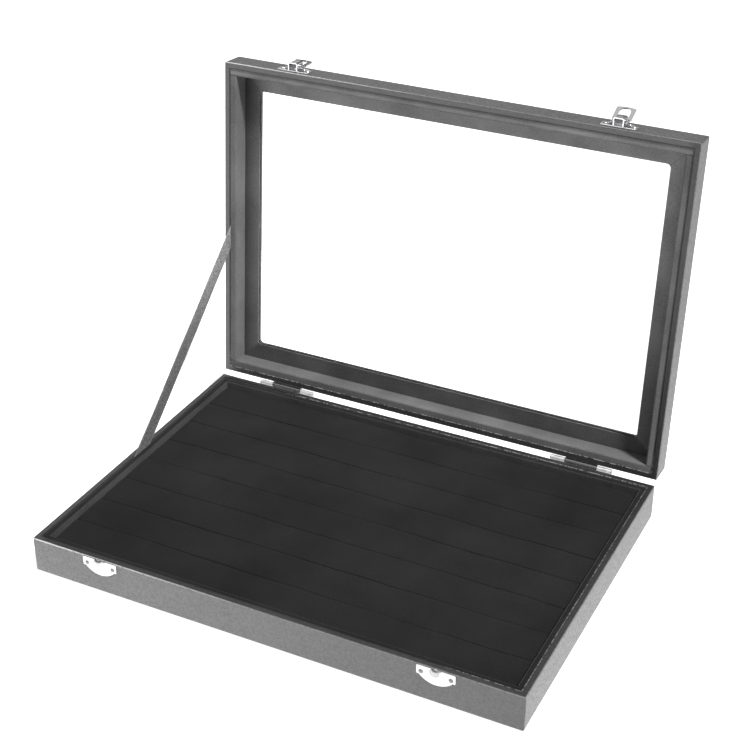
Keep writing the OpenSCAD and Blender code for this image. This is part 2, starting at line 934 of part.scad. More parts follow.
hasp_loop(right_catch_x, right_loop_lean);  // right_hasp_loop
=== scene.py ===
"""Ring display case: the looks of each piece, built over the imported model.

Everything is in metres, in the model's own frame. Each operator finishes one
piece or one group of like pieces, and the last one sets the stage.
"""

import json
import math

import bpy
from bpy.props import FloatProperty, FloatVectorProperty, IntProperty, PointerProperty
from mathutils import Matrix, Vector, noise


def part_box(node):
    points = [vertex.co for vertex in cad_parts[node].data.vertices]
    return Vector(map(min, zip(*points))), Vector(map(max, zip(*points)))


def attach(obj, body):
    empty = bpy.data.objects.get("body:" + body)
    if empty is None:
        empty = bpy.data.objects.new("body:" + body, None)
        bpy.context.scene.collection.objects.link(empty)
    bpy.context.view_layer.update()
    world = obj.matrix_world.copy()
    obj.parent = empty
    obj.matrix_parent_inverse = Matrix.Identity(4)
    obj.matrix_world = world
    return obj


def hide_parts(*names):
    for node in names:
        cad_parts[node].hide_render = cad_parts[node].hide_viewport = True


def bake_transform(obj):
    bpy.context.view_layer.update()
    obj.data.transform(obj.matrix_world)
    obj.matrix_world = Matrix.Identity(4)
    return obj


bl_info = {
    "name": "Ring display case",
    "version": (1, 0, 0),
    "blender": (4, 5, 0),
    "location": "View3D > Sidebar > Ring case",
    "description": "Finishes a leatherette ring display case piece by piece",
    "category": "Object",
}

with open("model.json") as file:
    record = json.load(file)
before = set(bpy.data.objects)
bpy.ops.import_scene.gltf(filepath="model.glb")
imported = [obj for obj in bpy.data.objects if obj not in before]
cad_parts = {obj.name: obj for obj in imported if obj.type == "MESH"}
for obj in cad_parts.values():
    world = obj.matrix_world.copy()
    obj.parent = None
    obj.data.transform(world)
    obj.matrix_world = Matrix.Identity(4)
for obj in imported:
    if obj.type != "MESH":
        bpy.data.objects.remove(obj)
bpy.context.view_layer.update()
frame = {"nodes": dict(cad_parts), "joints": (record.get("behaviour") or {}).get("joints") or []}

MM = 0.001
WHITE = (1.0, 1.0, 1.0, 1.0)
LID_JOINT = next(j for j in frame["joints"] if j["name"] == "lid_hinge")
HINGE = Vector(LID_JOINT["pos_m"])
# The lid stands this far open at rest
LID_OPEN = math.radians(LID_JOINT["range_deg"][1])
BASE_LO, BASE_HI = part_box("base_leatherette")
# Thickness of a covered wall
WALL = BASE_HI.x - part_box("base_right_liner")[1].x
PANE_LO, PANE_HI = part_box("window_pane")
# Half of the pane across, and half of it from front to back of the shut lid
PANE_HALF_X = (PANE_HI.x - PANE_LO.x) / 2
PANE_HALF_Y = (PANE_HI.z - PANE_LO.z) / 2
ROLLS = sorted(n for n in frame["nodes"] if n.startswith("ring_roll_"))
SIDES = ("front", "back", "left", "right")


def linear(hex_code):
    """An sRGB hex colour as the linear RGBA that shaders take."""
    channels = [int(hex_code[i : i + 2], 16) / 255 for i in (1, 3, 5)]
    return [c / 12.92 if c <= 0.04045 else ((c + 0.055) / 1.055) ** 2.4 for c in channels] + [1.0]


def opened(point):
    """A point of the shut lid, as it lies at rest with the lid open."""
    return Matrix.Rotation(-LID_OPEN, 3, "X") @ (Vector(point) - HINGE) + HINGE


# Settings


def colour(name, description, code):
    """A colour setting whose default is a hex code."""
    return FloatVectorProperty(
        name=name, description=description, subtype="COLOR", size=4,
        min=0, max=1, default=linear(code),
    )


class RingCaseColours(bpy.types.PropertyGroup):
    """Colours of the case's finishes."""

    leatherette: colour("Leatherette", "Colour of the embossed covering", "#303030")
    lining: colour("Lid velvet", "Colour of the velvet in the lid and round its window", "#727272")
    # Painted shade: the lid's velvet, darkened for the dimmer light on the base's liners
    shaded_base_lining: colour("Base velvet", "Colour of the velvet on the base's liners", "#222222")
    roll: colour("Roll velvet", "Colour of the velvet on the ring rolls", "#232323")
    ribbon: colour("Ribbon", "Colour of the woven ribbon stay", "#8a8a8a")
    plating: colour("Plating", "Colour of the bright plated fittings", "#dcdcde")
    steel: colour("Steel", "Colour of loops, pins and springs", "#c2c2c2")
    # Painted light and shade: the hinge leaves are one metal; the base's leaves are painted near
    # white for the light that burns out on them, and the lid's leaves and the screws dark grey for
    # the dark that they mirror
    lit: colour("Lit plate", "Colour of the hinge leaves on the base", "#f2f2f2")
    shaded: colour("Shaded steel", "Colour of the hinge leaves on the lid, and of screws", "#8a8a8a")
    board: colour("Board", "Colour of the fibre board", "#a5835c")
    paper: colour("Paper", "Colour of the black lining paper", "#262626")


class RingCaseSizes(bpy.types.PropertyGroup):
    """Sizes of the soft pieces."""

    shoulder: FloatProperty(
        name="Roll shoulder", description="Radius along the upper edges of a roll",
        default=2.2 * MM, min=0.001, max=0.006, subtype="DISTANCE", unit="LENGTH",
    )
    crown: FloatProperty(
        name="Roll crown", description="Rise of a roll's top over its width",
        default=0.9 * MM, min=0, max=0.003, subtype="DISTANCE", unit="LENGTH",
    )
    wave: FloatProperty(
        name="Roll unevenness", description="How far the foam rises and falls along a roll",
        default=0.45 * MM, min=0, max=0.002, subtype="DISTANCE", unit="LENGTH",
    )
    wander: FloatProperty(
        name="Groove wander", description="How far the groove between two rolls strays",
        default=1.3 * MM, min=0, max=0.003, subtype="DISTANCE", unit="LENGTH",
    )
    stations: IntProperty(
        name="Roll steps", description="Steps along the length of a roll",
        default=120, min=20, max=300,
    )
    ribbon_width: FloatProperty(
        name="Ribbon width", description="Width of the ribbon stay",
        default=12.5 * MM, min=0.01, max=0.014, subtype="DISTANCE", unit="LENGTH",
    )
    ribbon_bow: FloatProperty(
        name="Ribbon bow", description="How far the taut ribbon hangs below a straight line",
        default=0.2 * MM, min=0, max=0.01, subtype="DISTANCE", unit="LENGTH",
    )
    spring_wire: FloatProperty(
        name="Spring wire", description="Thickness of the catch springs' wire",
        default=0.5 * MM, min=0.0002, max=0.0008, subtype="DISTANCE", unit="LENGTH",
    )
    spring_pitch: FloatProperty(
        name="Spring pitch", description="From one turn of a catch spring to the next",
        default=0.8 * MM, min=0.0005, max=0.002, subtype="DISTANCE", unit="LENGTH",
    )


class RingCaseStage(bpy.types.PropertyGroup):
    """Camera, lamp, light from all round and table."""

    azimuth: FloatProperty(
        name="Azimuth", description="Camera's turn to the right of the front",
        subtype="ANGLE", default=math.radians(26.288),
    )
    elevation: FloatProperty(
        name="Elevation", description="Camera's tilt above the table",
        subtype="ANGLE", default=math.radians(30.018),
    )
    lean: FloatProperty(
        name="Lean", description="Camera's lean about its own axis",
        subtype="ANGLE", default=math.radians(0.15),
    )
    distance: FloatProperty(
        name="Distance", description="From the camera to the plane through the case's middle",
        unit="LENGTH", default=1.078754,
    )
    across: FloatProperty(
        name="Across", description="View's middle, right of the case's middle",
        unit="LENGTH", default=0.015825,
    )
    above: FloatProperty(
        name="Above", description="View's middle, above the case's middle",
        unit="LENGTH", default=0.11522,
    )
    focal: FloatProperty(
        name="Focal length", description="On a sensor 36 mm wide", unit="CAMERA", default=75.334
    )
    key: FloatProperty(
        name="Key", description="Level of the key lamp, where 1 shows colours as written",
        default=1.1,
    )
    key_way: FloatVectorProperty(
        name="Key direction", description="From the case toward the key lamp",
        subtype="DIRECTION", default=(0.482, -0.187, 0.856),
    )
    key_spread: FloatProperty(
        name="Key spread", description="How wide the key lamp looks from the case",
        subtype="ANGLE", default=math.radians(7),
    )
    ambient: FloatProperty(
        name="Ambient", description="Level of the light from all round", default=0.3
    )
    table: FloatProperty(
        name="Table", description="From the table's middle to its sides", unit="LENGTH", default=6.0
    )


# Helpers


def add(tree, kind, inputs=None, **settings):
    """Adds a node with its settings and links.

    An input is a value, or a socket to link, or a node to link by its first output.
    """
    node = tree.nodes.new(kind)
    for key, value in settings.items():
        setattr(node, key, value)
    for key, value in (inputs or {}).items():
        if isinstance(value, bpy.types.Node):
            value = value.outputs[0]
        if isinstance(value, bpy.types.NodeSocket):
            tree.links.new(value, node.inputs[key])
        else:
            node.inputs[key].default_value = value
    return node


def new_material(name):
    """An empty node material, its output node and its object coordinates."""
    material = bpy.data.materials.new(name)
    material.use_nodes = True
    tree = material.node_tree
    tree.nodes.clear()
    output = tree.nodes.new("ShaderNodeOutputMaterial")
    return material, tree, output, tree.nodes.new("ShaderNodeTexCoord").outputs["Object"]


def dress(material, *nodes):
    """Gives CAD nodes a material in place of their own."""
    for name in nodes:
        materials = frame["nodes"][name].data.materials
        materials.clear()
        materials.append(material)


def piece(name, verts, faces, body, material, slot, *nodes):
    """A new mesh piece that rides on a body and stands for CAD nodes."""
    mesh = bpy.data.meshes.new(name)
    mesh.from_pydata(verts, [], faces)
    mesh.validate()
    mesh.update()
    mesh.shade_smooth()
    target = bpy.data.objects.new(name, mesh)
    bpy.context.scene.collection.objects.link(target)
    mesh.materials.append(material)
    if body:
        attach(target, body)
    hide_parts(*nodes)
    return target


def swept(sections):
    """Vertices and faces of a tube through equal closed sections, with flat ends."""
    count = len(sections[0])
    verts = [v for section in sections for v in section]
    faces = []
    for s in range(len(sections) - 1):
        for i in range(count):
            j = (i + 1) % count
            faces.append((s * count + i, s * count + j, (s + 1) * count + j, (s + 1) * count + i))
    faces.append(tuple(reversed(range(count))))
    faces.append(tuple(range((len(sections) - 1) * count, len(sections) * count)))
    return verts, faces


def past_rectangle(tree, at, half_x, half_y):
    """How far a point lies past the sides of a rectangle about the middle, in X and in Y."""
    past = []
    for axis, half in (("X", half_x), ("Y", half_y)):
        size = add(tree, "ShaderNodeMath", {0: at.outputs[axis]}, operation="ABSOLUTE")
        past.append(add(tree, "ShaderNodeMath", {0: size, 1: half}, operation="SUBTRACT"))
    return past


def seen_by_eye(tree, ray):
    """Whether a ray comes from the eye, directly or through the pane, and not off a surface."""
    seen = add(
        tree, "ShaderNodeMath",
        {0: ray.outputs["Is Camera Ray"], 1: ray.outputs["Is Transmission Ray"]},
        operation="MAXIMUM",
    )
    turns = add(
        tree, "ShaderNodeMath",
        {0: ray.outputs["Diffuse Depth"], 1: ray.outputs["Glossy Depth"]},
        operation="ADD",
    )
    first = add(tree, "ShaderNodeMath", {0: turns, 1: 0.5}, operation="LESS_THAN")
    return add(tree, "ShaderNodeMath", {0: seen, 1: first}, operation="MULTIPLY")


# Materials


def leatherette(name, base_colour, angle, rim, rim_shades, painted_light):
    """PVC leatherette, embossed with a fine pebble grain and glued over board.

    To the eye: semi-gloss, sides that pick up the pale table, a grain of specks,
    and a folded mitre at each corner of the rim. Angle turns the pattern's
    coordinates to those of the shut case, where the rim's corners are square.
    Rim is the height of the rim there, and rim shades how pale its face is
    painted, as painted shade, on the left side, between the sides and on the
    right side. Painted light is the line past which its inner edge gets a painted
    highlight: X times the first value, plus Y, is the second.
    """
    material, tree, output, coords = new_material(name)
    level = add(
        tree, "ShaderNodeVectorRotate",
        {"Vector": coords, "Center": HINGE, "Angle": angle},
        rotation_type="X_AXIS",
    )
    # Grain 1.6 mm across; the real 0.5 mm would vanish between pixels
    grain = add(
        tree, "ShaderNodeTexVoronoi",
        {"Vector": level, "Scale": 1 / (1.6 * MM), "Randomness": 1.0},
        feature="F1",
    )
    speck = add(
        tree, "ShaderNodeTexNoise",
        {"Vector": level, "Scale": 1 / (1.5 * MM), "Detail": 2, "Roughness": 0.7},
    )
    # Clouds about 36 mm across, where the covering was pulled more or less tight
    cloud = add(
        tree, "ShaderNodeTexNoise",
        {"Vector": level, "Scale": 1 / (35.7 * MM), "Detail": 3, "Roughness": 0.5},
    )
    at = add(tree, "ShaderNodeSeparateXYZ", {0: level})
    # Dark seam, where the covering turns down behind the liner
    past_x, past_y = past_rectangle(tree, at, BASE_HI.x - WALL, BASE_HI.y - WALL)
    past = add(tree, "ShaderNodeMath", {0: past_x, 1: past_y}, operation="MAXIMUM")
    seam_and_rim_shade = add(
        tree, "ShaderNodeMapRange",
        {"Value": past, "From Min": 0.1 * MM, "From Max": MM, "To Min": 0.35, "To Max": 1.0},
    )
    shade = add(tree, "ShaderNodeMath", {0: speck, 1: cloud}, operation="ADD")
    tone = add(
        tree, "ShaderNodeMapRange",
        {"Value": shade, "From Min": 0.8, "From Max": 1.2, "To Min": 0.75, "To Max": 1.25},
    )
    # Painted shade: the rim's face is darkened by its own amount on each side
    left_shade, middle_shade, right_shade = rim_shades
    down = add(tree, "ShaderNodeMath", {0: at.outputs["Z"], 1: rim}, operation="SUBTRACT")
    down = add(tree, "ShaderNodeMath", {0: down}, operation="ABSOLUTE")
    # Painted shade of the rim's face, side by side, faded out off the rim
    pressed = add(
        tree, "ShaderNodeMapRange",
        {
            "Value": at.outputs["X"],
            "From Min": WALL - BASE_HI.x, "From Max": 2 * WALL - BASE_HI.x,
            "To Min": left_shade, "To Max": middle_shade,
        },
    )
    pressed = add(
        tree, "ShaderNodeMapRange",
        {
            "Value": at.outputs["X"],
            "From Min": BASE_HI.x - 2 * WALL, "From Max": BASE_HI.x - WALL,
            "To Min": pressed, "To Max": right_shade,
        },
    )
    pressed = add(
        tree, "ShaderNodeMapRange",
        {
            "Value": down, "From Min": 0.1 * MM, "From Max": 0.3 * MM,
            "To Min": pressed, "To Max": 1.0,
        },
    )
    # One factor for the seam's dark line and the rim's painted shade; it dims the shine too
    seam_and_rim_shade = add(tree, "ShaderNodeMath", {0: seam_and_rim_shade, 1: pressed}, operation="MULTIPLY")
    tone = add(tree, "ShaderNodeMath", {0: tone, 1: seam_and_rim_shade}, operation="MULTIPLY")
    tint = add(
        tree, "ShaderNodeMix",
        {0: 1.0, 6: list(base_colour), 7: tone},
        data_type="RGBA", blend_type="MULTIPLY",
    )
    # Painted highlight: the cloth is painted pale along the rim's outer edge, most at its
    # left end, and in dashes along part of the inner one
    short = add(tree, "ShaderNodeMath", {0: WALL, 1: past}, operation="SUBTRACT")
    short = add(tree, "ShaderNodeMath", {0: short, 1: down}, operation="MAXIMUM")
    left = add(
        tree, "ShaderNodeMapRange",
        {
            "Value": at.outputs["X"], "From Min": -BASE_HI.x, "From Max": 0.0,
            "To Min": 1.0, "To Max": 0.22,
        },
    )
    outer = add(
        tree, "ShaderNodeMapRange",
        {"Value": short, "From Min": 0.4 * MM, "From Max": 0.8 * MM, "To Min": left, "To Max": 0.0},
    )
    broken = add(
        tree, "ShaderNodeMapRange",
        {"Value": speck, "From Min": 0.35, "From Max": 0.5, "To Min": 0.45, "To Max": 1.0},
    )
    outer = add(tree, "ShaderNodeMath", {0: outer, 1: broken}, operation="MULTIPLY")
    within = add(tree, "ShaderNodeMath", {0: past}, operation="ABSOLUTE")
    within = add(tree, "ShaderNodeMath", {0: within, 1: down}, operation="MAXIMUM")
    dashes = add(
        tree, "ShaderNodeMapRange",
        {"Value": speck, "From Min": 0.47, "From Max": 0.56, "To Min": 0.04, "To Max": 0.5},
    )
    inner = add(
        tree, "ShaderNodeMapRange",
        {
            "Value": within, "From Min": 0.2 * MM, "From Max": 0.6 * MM,
            "To Min": dashes, "To Max": 0.0,
        },
    )
    # Painted highlight on the inner edge, only past this line
    slope, start = painted_light
    line = add(
        tree, "ShaderNodeMath",
        {0: at.outputs["X"], 1: slope, 2: at.outputs["Y"]},
        operation="MULTIPLY_ADD",
    )
    inner = add(
        tree, "ShaderNodeMapRange",
        {
            "Value": line, "From Min": start, "From Max": start + 15 * MM,
            "To Min": 0.0, "To Max": inner,
        },
    )
    pale = add(tree, "ShaderNodeMath", {0: outer, 1: inner}, operation="MAXIMUM")
    # Painted highlight mixed into the colour
    tint = add(
        tree, "ShaderNodeMix",
        {0: pale, 6: tint.outputs[2], 7: linear("#e4e4e4")},
        data_type="RGBA",
    )
    # The pits of the grain shine less than its tops, which tells most at a slant
    pits = add(
        tree, "ShaderNodeMapRange",
        {"Value": speck, "From Min": 0.38, "From Max": 0.6, "To Min": 0.68, "To Max": 1.0},
    )
    slant = add(tree, "ShaderNodeLayerWeight", {"Blend": 0.5})
    slant = add(
        tree, "ShaderNodeMapRange",
        {
            "Value": slant.outputs["Facing"], "From Min": 0.25, "From Max": 0.5,
            "To Min": 0.15, "To Max": 1.0,
        },
    )
    shine = add(tree, "ShaderNodeMix", {0: slant, 2: 0.95, 3: pits})
    shine = add(tree, "ShaderNodeMath", {0: shine, 1: seam_and_rim_shade}, operation="MULTIPLY")
    # Cloth turns over an edge in a round of 0.8 mm
    rounded = add(tree, "ShaderNodeBevel", {"Radius": 0.8 * MM}, samples=6)
    # Folded mitre: a thin groove where a corner of the rim is as far from both sides
    apart = add(tree, "ShaderNodeMath", {0: past_x, 1: past_y}, operation="SUBTRACT")
    off = add(tree, "ShaderNodeMath", {0: apart}, operation="ABSOLUTE")
    fold = add(
        tree, "ShaderNodeMapRange",
        {"Value": off, "From Min": 0.0, "From Max": 0.8 * MM, "To Min": 0.0, "To Max": 1.0},
    )
    height = add(tree, "ShaderNodeMath", {0: grain, 1: fold}, operation="MULTIPLY")
    bump = add(
        tree, "ShaderNodeBump",
        {"Height": height, "Strength": 1.0, "Distance": 0.2 * MM, "Normal": rounded},
    )
    rough = add(
        tree, "ShaderNodeMapRange",
        {"Value": speck, "From Min": 0.3, "From Max": 0.7, "To Min": 0.52, "To Max": 0.4},
    )
    shader = add(
        tree, "ShaderNodeBsdfPrincipled",
        {
            "Base Color": tint.outputs[2], "Roughness": rough, "Normal": bump,
            "IOR": 1.53, "Specular IOR Level": 1.0, "Specular Tint": shine,
            "Coat Weight": shine, "Coat Roughness": 0.32,
        },
    )
    tree.links.new(shader.outputs[0], output.inputs["Surface"])
    return material


def velvet(name, base_colour, sheen=0.25, nap_and_painted_light=33.3 * MM, board=None):
    """Cotton velvet with a short dense pile: matt, paler where the pile lies over.

    Nap and painted light is the width of a patch of pile that lies one way. Board
    is half the space inside a ring of liners in X and Y, and their thickness: along
    both edges of their tops the pile gets a painted highlight.
    """
    material, tree, output, coords = new_material(name)
    # Tufts 1 mm across; the real 0.5 mm would vanish between pixels
    tuft = add(
        tree, "ShaderNodeTexNoise",
        {"Vector": coords, "Scale": 1 / MM, "Detail": 3, "Roughness": 0.7},
    )
    lay = add(
        tree, "ShaderNodeTexNoise",
        {"Vector": coords, "Scale": 1 / nap_and_painted_light, "Detail": 2, "Roughness": 0.45},
    )
    shade = add(tree, "ShaderNodeMath", {0: tuft, 1: lay}, operation="ADD")
    tone = add(
        tree, "ShaderNodeMapRange",
        {"Value": shade, "From Min": 0.75, "From Max": 1.25, "To Min": 0.72, "To Max": 1.28},
    )
    if board:
        half_x, half_y, thickness = board
        at = add(tree, "ShaderNodeSeparateXYZ", {0: coords})
        past_x, past_y = past_rectangle(tree, at, half_x, half_y)
        across = add(tree, "ShaderNodeMath", {0: past_x, 1: past_y}, operation="MAXIMUM")
        near = add(tree, "ShaderNodeMath", {0: across, 1: thickness / 2}, operation="PINGPONG")
        # Painted highlight along both edges of the liners' tops
        edge_highlight = add(
            tree, "ShaderNodeMapRange",
            {
                "Value": near, "From Min": 0.2 * MM, "From Max": 0.8 * MM,
                "To Min": 3.4, "To Max": 0.8,
            },
        )
        tone = add(tree, "ShaderNodeMath", {0: tone, 1: edge_highlight}, operation="MULTIPLY")
    tint = add(
        tree, "ShaderNodeMix",
        {0: 1.0, 6: list(base_colour), 7: tone},
        data_type="RGBA", blend_type="MULTIPLY",
    )
    bump = add(
        tree, "ShaderNodeBump",
        {"Height": tuft, "Strength": 0.5, "Distance": 0.15 * MM},
    )
    shader = add(
        tree, "ShaderNodeBsdfPrincipled",
        {
            "Base Color": tint.outputs[2], "Roughness": 1.0, "Specular IOR Level": 0.1,
            "Normal": bump, "Sheen Weight": sheen, "Sheen Roughness": 0.45,
            "Sheen Tint": linear("#e7e7e7"),
        },
    )
    tree.links.new(shader.outputs[0], output.inputs["Surface"])
    return material


def mitred_velvet(name, base_colour):
    """Velvet in four strips mitred at the corners, each with painted light and shade.

    To the eye: the strip by the hinge is painted dark and the one in front of the
    window painted pale, the left one takes painted shade toward the liner and the
    right one toward the hinge.
    """
    material = velvet(name, base_colour)
    tree = material.node_tree
    shader = next(node for node in tree.nodes if node.type == "BSDF_PRINCIPLED")
    coords = next(node for node in tree.nodes if node.type == "TEX_COORD").outputs["Object"]
    level = add(
        tree, "ShaderNodeVectorRotate",
        {"Vector": coords, "Center": HINGE, "Angle": LID_OPEN},
        rotation_type="X_AXIS",
    )
    at = add(tree, "ShaderNodeSeparateXYZ", {0: level})
    past_x, past_y = past_rectangle(tree, at, PANE_HALF_X, PANE_HALF_Y)
    apart = add(tree, "ShaderNodeMath", {0: past_x, 1: past_y}, operation="SUBTRACT")
    side = add(
        tree, "ShaderNodeMapRange",
        {"Value": apart, "From Min": -2 * MM, "From Max": 2 * MM, "To Min": 0.0, "To Max": 1.0},
    )
    # Painted shade: the left strip darkens toward the liner
    left = add(
        tree, "ShaderNodeMapRange",
        {"Value": past_x, "From Min": -6 * MM, "From Max": 6 * MM, "To Min": 1.0, "To Max": 0.38},
    )
    # Painted light and shade: the right strip is pale at the front and darkens toward the hinge
    right = add(
        tree, "ShaderNodeMapRange",
        {
            "Value": at.outputs["Y"], "From Min": -PANE_HALF_Y, "From Max": PANE_HALF_Y,
            "To Min": 2.1, "To Max": 0.8,
        },
    )
    left_right = add(
        tree, "ShaderNodeMapRange",
        {
            "Value": at.outputs["X"], "From Min": -MM, "From Max": MM,
            "To Min": left, "To Max": right,
        },
    )
    # Painted light and shade: the front strip is painted pale, and its own left end as dark as the
    # strip that it meets there
    front = add(
        tree, "ShaderNodeMapRange",
        {
            "Value": at.outputs["X"],
            "From Min": -PANE_HALF_X - 6 * MM, "From Max": -PANE_HALF_X + 18 * MM,
            "To Min": 0.38, "To Max": 2.05,
        },
    )
    front_back = add(
        tree, "ShaderNodeMapRange",
        {"Value": at.outputs["Y"], "From Min": -MM, "From Max": MM, "To Min": front, "To Max": 0.5},
    )
    # Painted light and shade, strip by strip: the strip by the hinge is painted dark
    nap_and_painted_light = add(tree, "ShaderNodeMix", {0: side, 2: front_back, 3: left_right})
    off = add(tree, "ShaderNodeMath", {0: apart}, operation="ABSOLUTE")
    mitre = add(
        tree, "ShaderNodeMapRange",
        {"Value": off, "From Min": 0.1 * MM, "From Max": 0.6 * MM, "To Min": 0.75, "To Max": 1.0},
    )
    tone = add(tree, "ShaderNodeMath", {0: nap_and_painted_light, 1: mitre}, operation="MULTIPLY")
    plain = shader.inputs["Base Color"].links[0].from_socket
    tint = add(
        tree, "ShaderNodeMix",
        {0: 1.0, 6: plain, 7: tone},
        data_type="RGBA", blend_type="MULTIPLY",
    )
    tree.links.new(tint.outputs[2], shader.inputs["Base Color"])
    return material


def plating(name, base_colour, roughness, dents):
    """Nickel plated steel: mirrors the room, softened by handling marks."""
    material, tree, output, coords = new_material(name)
    smear = add(tree, "ShaderNodeTexNoise", {"Vector": coords, "Scale": 1 / (4 * MM), "Detail": 3})
    rough = add(
        tree, "ShaderNodeMapRange",
        {
            "Value": smear, "From Min": 0.3, "From Max": 0.7,
            "To Min": roughness * 0.7, "To Max": roughness * 1.3,
        },
    )
    # Pressed sheet is never quite flat: dents about 3 mm across
    dent = add(tree, "ShaderNodeTexNoise", {"Vector": coords, "Scale": 1 / (3 * MM), "Detail": 1})
    bump = add(tree, "ShaderNodeBump", {"Height": dent, "Strength": dents, "Distance": 0.2 * MM})
    shader = add(
        tree, "ShaderNodeBsdfPrincipled",
        {"Base Color": list(base_colour), "Metallic": 1.0, "Roughness": rough, "Normal": bump},
    )
    tree.links.new(shader.outputs[0], output.inputs["Surface"])
    return material


def clear_pane(name):
    """Polished clear sheet: shows what is behind it and lets the lamps through."""
    material, tree, output, coords = new_material(name)
    # The sheet bows in and out by a hair, over 111 mm
    bow = add(tree, "ShaderNodeTexNoise", {"Vector": coords, "Scale": 1 / (111 * MM), "Detail": 1})
    bump = add(tree, "ShaderNodeBump", {"Height": bow, "Strength": 0.02, "Distance": 0.1 * MM})
    clear = add(
        tree, "ShaderNodeBsdfPrincipled",
        {
            "Base Color": WHITE, "Roughness": 0.0, "IOR": 1.49,
            "Transmission Weight": 1.0, "Normal": bump,
        },
    )
    through = add(tree, "ShaderNodeBsdfTransparent")
    ray = add(tree, "ShaderNodeLightPath")
    surface = add(
        tree, "ShaderNodeMixShader", {0: ray.outputs["Is Shadow Ray"], 1: clear, 2: through}
    )
    tree.links.new(surface.outputs[0], output.inputs["Surface"])
    return material


def woven_ribbon(name, base_colour, along):
    """Polyester grosgrain: cross ribs 0.9 mm apart, glints where threads cross.

    Painted shade makes it darker toward the base. Along is its slope, in radians.
    """
    material, tree, output, coords = new_material(name)
    turned = add(
        tree, "ShaderNodeVectorRotate",
        {"Vector": coords, "Angle": -along},
        rotation_type="X_AXIS",
    )
    # A wave texture of scale 1 has a band for each tau / 20 of a metre
    ribs = add(
        tree, "ShaderNodeTexWave",
        {"Vector": turned, "Scale": math.tau / (20 * 0.9 * MM), "Distortion": 2.0},
        bands_direction="Y", wave_profile="SIN",
    )
    glint = add(
        tree, "ShaderNodeTexNoise",
        {"Vector": turned, "Scale": 1 / (1.2 * MM), "Detail": 2, "Roughness": 0.8},
    )
    rib = add(tree, "ShaderNodeMath", {0: ribs.outputs["Fac"], 1: 0.15}, operation="MULTIPLY")
    shade = add(tree, "ShaderNodeMath", {0: glint, 1: rib}, operation="ADD")
    tone = add(
        tree, "ShaderNodeMapRange",
        {"Value": shade, "From Min": 0.4, "From Max": 0.78, "To Min": 0.3, "To Max": 2.1},
    )
    at = add(tree, "ShaderNodeSeparateXYZ", {0: coords})
    # Painted shade: darker toward the base
    painted_light = add(
        tree, "ShaderNodeMapRange",
        {
            "Value": at.outputs["Z"], "From Min": 0.085, "From Max": 0.125,
            "To Min": 0.55, "To Max": 1.0,
        },
    )
    shown = add(tree, "ShaderNodeMath", {0: tone, 1: painted_light}, operation="MULTIPLY")
    tint = add(
        tree, "ShaderNodeMix",
        {0: 1.0, 6: list(base_colour), 7: shown},
        data_type="RGBA", blend_type="MULTIPLY",
    )
    bump = add(tree, "ShaderNodeBump", {"Height": shade, "Strength": 0.6, "Distance": 0.2 * MM})
    shader = add(
        tree, "ShaderNodeBsdfPrincipled",
        {
            "Base Color": tint.outputs[2], "Roughness": 0.5, "Specular IOR Level": 0.6,
            "Normal": bump, "Sheen Weight": 0.3, "Sheen Roughness": 0.3,
        },
    )
    tree.links.new(shader.outputs[0], output.inputs["Surface"])
    return material


def fibre_board(name, base_colour):
    """Fibre board, sawn and left raw: matt, with short pale and dark fibres."""
    material, tree, output, coords = new_material(name)
    fibre = add(
        tree, "ShaderNodeTexNoise",
        {"Vector": coords, "Scale": 1 / (1.2 * MM), "Detail": 4, "Roughness": 0.7},
    )
    tone = add(
        tree, "ShaderNodeMapRange",
        {"Value": fibre, "From Min": 0.3, "From Max": 0.7, "To Min": 0.82, "To Max": 1.15},
    )
    tint = add(
        tree, "ShaderNodeMix",
        {0: 1.0, 6: list(base_colour), 7: tone},
        data_type="RGBA", blend_type="MULTIPLY",
    )
    bump = add(
        tree, "ShaderNodeBump",
        {"Height": fibre, "Strength": 0.3, "Distance": 0.1 * MM},
    )
    shader = add(
        tree, "ShaderNodeBsdfPrincipled",
        {
            "Base Color": tint.outputs[2], "Roughness": 0.85, "Specular IOR Level": 0.3,
            "Normal": bump,
        },
    )
    tree.links.new(shader.outputs[0], output.inputs["Surface"])
    return material


# Operators


class RINGCASE_OT_covering(bpy.types.Operator):
    """Covers base and lid in leatherette."""

    bl_idname = "ringcase.covering"
    bl_label = "Leatherette covering"

    def execute(self, context):
        shade = context.scene.ring_case_colours.leatherette
        base = leatherette(
            "embossed leatherette, base", shade, angle=0.0,
            rim=BASE_HI.z, rim_shades=(1.0, 0.6, 0.6), painted_light=(1.0, 0.0),
        )
        dress(base, "base_leatherette")
        # The hinge's axis lies midway between the two rims of the shut case
        lid = leatherette(
            "embossed leatherette, lid", shade, angle=LID_OPEN,
            rim=2 * HINGE.z - BASE_HI.z, rim_shades=(0.78, 0.8, 0.55), painted_light=(0.0, 100 * MM),
        )
        dress(lid, "lid_leatherette")
        return {"FINISHED"}


class RINGCASE_OT_boards(bpy.types.Operator):
    """Finishes the boards, the card and the underside paper."""

    bl_idname = "ringcase.boards"
    bl_label = "Boards and paper"

    def execute(self, context):
        colours = context.scene.ring_case_colours
        raw = fibre_board("raw fibre board", colours.board)
        dress(raw, "base_bottom_board", "lid_window_board")
        for half in ("base", "lid"):
            dress(raw, *(f"{half}_{side}_rail" for side in SIDES))
        dress(fibre_board("black lining paper", colours.paper), "base_underside_paper", "roll_card")
        return {"FINISHED"}


